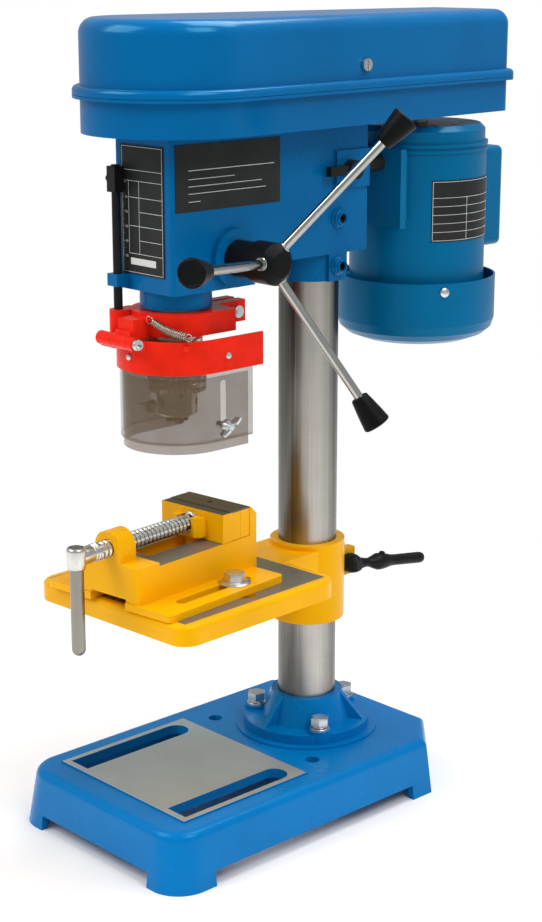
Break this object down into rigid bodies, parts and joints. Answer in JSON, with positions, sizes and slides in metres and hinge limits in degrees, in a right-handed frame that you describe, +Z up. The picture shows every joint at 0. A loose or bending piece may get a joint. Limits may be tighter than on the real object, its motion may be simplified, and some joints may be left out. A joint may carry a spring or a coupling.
{
  "type": "bench drill press",
  "caption": "Belt-driven bench drill press: slotted base, round column, key chuck with a swing-up guard, lever feed, lock-down table and a drill vise.",
  "frame": {"origin": "on the bench plane, below the middle of the machine's outline", "axes": "+Z up along the column, front towards -Y, +X to the operator's right"},
  "size_m": [0.2314, 0.4453, 0.6065],
  "materials": {
    "base_paint": "glossy enamel over cast iron",
    "head_paint": "glossy enamel over cast iron",
    "cover_paint": "glossy enamel on sheet steel",
    "motor_paint": "glossy enamel",
    "cast_paint": "slightly rough enamel over cast iron",
    "ground_steel": "ground",
    "dark_steel": "hardened",
    "zinc": "zinc plated",
    "bright": "polished plating",
    "red_plastic": "moulded",
    "clear_plastic": "smoky and clear",
    "black_plastic": "moulded",
    "black_plate": "printed plate",
    "pulley_metal": "turned casting",
    "belt_rubber": "moulded",
    "green_button": "moulded",
    "red_button": "moulded",
    "copper_iron": "laminated with windings"
  },
  "bodies": {
    "stand": {"base_casting": "base_paint", "column_flange": "base_paint", "flange_bolts": "zinc", "column_tube": "ground_steel", "head_casting": "head_paint", "head_clamp_screws": "head_paint", "scale_plate": "black_plate", "side_plate": "black_plate", "pulley_bearings": "ground_steel", "return_spring_case": "black_plastic", "return_spring": "dark_steel", "switch_box": "black_plastic", "cover_pan": "cover_paint", "drive_belt": "belt_rubber"},
    "lid": {"cover_lid": "cover_paint", "cover_screw": "zinc"},
    "pulley": {"spindle_pulley": "pulley_metal"},
    "quill_group": {"quill": "ground_steel", "quill_bearings": "ground_steel", "guard_collar": "red_plastic", "guard_clamp_screw": "zinc", "depth_rod": "black_plate", "depth_pointer": "black_plastic", "guard_spring": "zinc"},
    "spindle_group": {"spindle": "ground_steel", "chuck_body": "bright", "chuck_jaws": "dark_steel"},
    "sleeve": {"chuck_sleeve": "bright"},
    "feed": {"pinion_shaft": "ground_steel", "feed_hub": "black_plastic", "feed_levers": "bright", "feed_grips": "black_plastic"},
    "visor": {"guard_ring": "red_plastic", "guard_hinge_bolt": "zinc", "guard_screen": "clear_plastic", "guard_screws": "zinc"},
    "slider": {"guard_slider": "clear_plastic"},
    "motor": {"motor_body": "motor_paint", "motor_end_cover": "motor_paint", "motor_stator": "copper_iron", "fan_cowl": "motor_paint", "cowl_screws": "zinc", "terminal_box": "black_plastic", "rating_plate": "black_plate", "motor_bracket": "motor_paint"},
    "rotor": {"motor_rotor": "ground_steel", "motor_fan": "black_plastic", "motor_pulley": "pulley_metal"},
    "tension": {"tension_lever": "black_plastic"},
    "start": {"start_button": "green_button"},
    "stop": {"stop_button": "red_button"},
    "table": {"table_casting": "cast_paint", "vise_body": "cast_paint", "vise_fixed_plate": "dark_steel", "vise_bolts": "zinc"},
    "table_lever": {"table_lock_lever": "black_plastic"},
    "jaw": {"vise_moving_jaw": "cast_paint", "vise_moving_plate": "dark_steel"},
    "screw": {"vise_screw": "bright"},
    "handle": {"vise_handle": "bright"}
  },
  "joints": [
    {"name": "quill_slide", "type": "slide", "parent": "stand", "child": "quill_group", "axis": [0, 0, -1], "range_m": [0, 0.05], "stiffness_N_per_m": 700, "springref_m": -0.05},
    {"name": "feed_turn", "type": "hinge", "parent": "stand", "child": "feed", "pos_m": [-0.01988, -0.07965, 0.44], "axis": [1, 0, 0], "range_deg": [0, 327.8]},
    {"name": "pulley_spin", "type": "hinge", "parent": "stand", "child": "pulley", "pos_m": [-0.01988, -0.10715, 0.55], "axis": [0, 0, 1], "continuous": true},
    {"name": "spindle_spin", "type": "hinge", "parent": "quill_group", "child": "spindle_group", "pos_m": [-0.01988, -0.10715, 0.4], "axis": [0, 0, 1], "continuous": true},
    {"name": "chuck_sleeve_turn", "type": "hinge", "parent": "spindle_group", "child": "sleeve", "pos_m": [-0.01988, -0.10715, 0.355], "axis": [0, 0, 1], "continuous": true},
    {"name": "guard_flip", "type": "hinge", "parent": "quill_group", "child": "visor", "pos_m": [-0.01988, -0.15715, 0.385], "axis": [-1, 0, 0], "range_deg": [0, 90], "stiffness_Nm_per_rad": 0.1, "springref_deg": -34.38},
    {"name": "guard_slide", "type": "slide", "parent": "visor", "child": "slider", "axis": [0, 0, -1], "range_m": [0, 0.03]},
    {"name": "lid_open", "type": "hinge", "parent": "stand", "child": "lid", "pos_m": [-0.09287, -0.1016, 0.5544], "axis": [-0.0758, -0.9971, 0], "range_deg": [0, 100]},
    {"name": "motor_slide", "type": "slide", "parent": "stand", "child": "motor", "axis": [0, 1, 0], "range_m": [-0.015, 0]},
    {"name": "motor_spin", "type": "hinge", "parent": "motor", "child": "rotor", "pos_m": [-0.01988, 0.14665, 0.45], "axis": [0, 0, 1], "continuous": true},
    {"name": "tension_lever_turn", "type": "hinge", "parent": "stand", "child": "tension", "pos_m": [0.01812, 0.03465, 0.494], "axis": [1, 0, 0], "range_deg": [-60, 60]},
    {"name": "start_press", "type": "slide", "parent": "stand", "child": "start", "axis": [1, 0, 0], "range_m": [0, 0.002], "stiffness_N_per_m": 800, "springref_m": -0.001},
    {"name": "stop_press", "type": "slide", "parent": "stand", "child": "stop", "axis": [1, 0, 0], "range_m": [0, 0.002], "stiffness_N_per_m": 800, "springref_m": -0.001},
    {"name": "table_slide", "type": "slide", "parent": "stand", "child": "table", "axis": [0, 0, -1], "range_m": [0, 0.055]},
    {"name": "table_lever_turn", "type": "hinge", "parent": "table", "child": "table_lever", "pos_m": [-0.02182, 0.0626, 0.175], "axis": [0.9986, 0.0523, 0], "range_deg": [-60, 60]},
    {"name": "vise_jaw_slide", "type": "slide", "parent": "table", "child": "jaw", "axis": [0.1045, -0.9945, 0], "range_m": [0, 0.042]},
    {"name": "vise_screw_turn", "type": "hinge", "parent": "jaw", "child": "screw", "pos_m": [-0.00254, -0.21565, 0.2425], "axis": [0.1045, -0.9945, 0], "range_deg": [0, 3790]},
    {"name": "vise_handle_slide", "type": "slide", "parent": "screw", "child": "handle", "axis": [0, 0, 1], "range_m": [0, 0.055]}
  ],
  "couplings": [
    {"joint": "feed_turn", "follows": "quill_slide", "rad_per_m": 114.29},
    {"joint": "spindle_spin", "follows": "pulley_spin", "ratio": 1},
    {"joint": "motor_spin", "follows": "pulley_spin", "ratio": 1.2812},
    {"joint": "vise_screw_turn", "follows": "vise_jaw_slide", "rad_per_m": 1570.8}
  ]
}
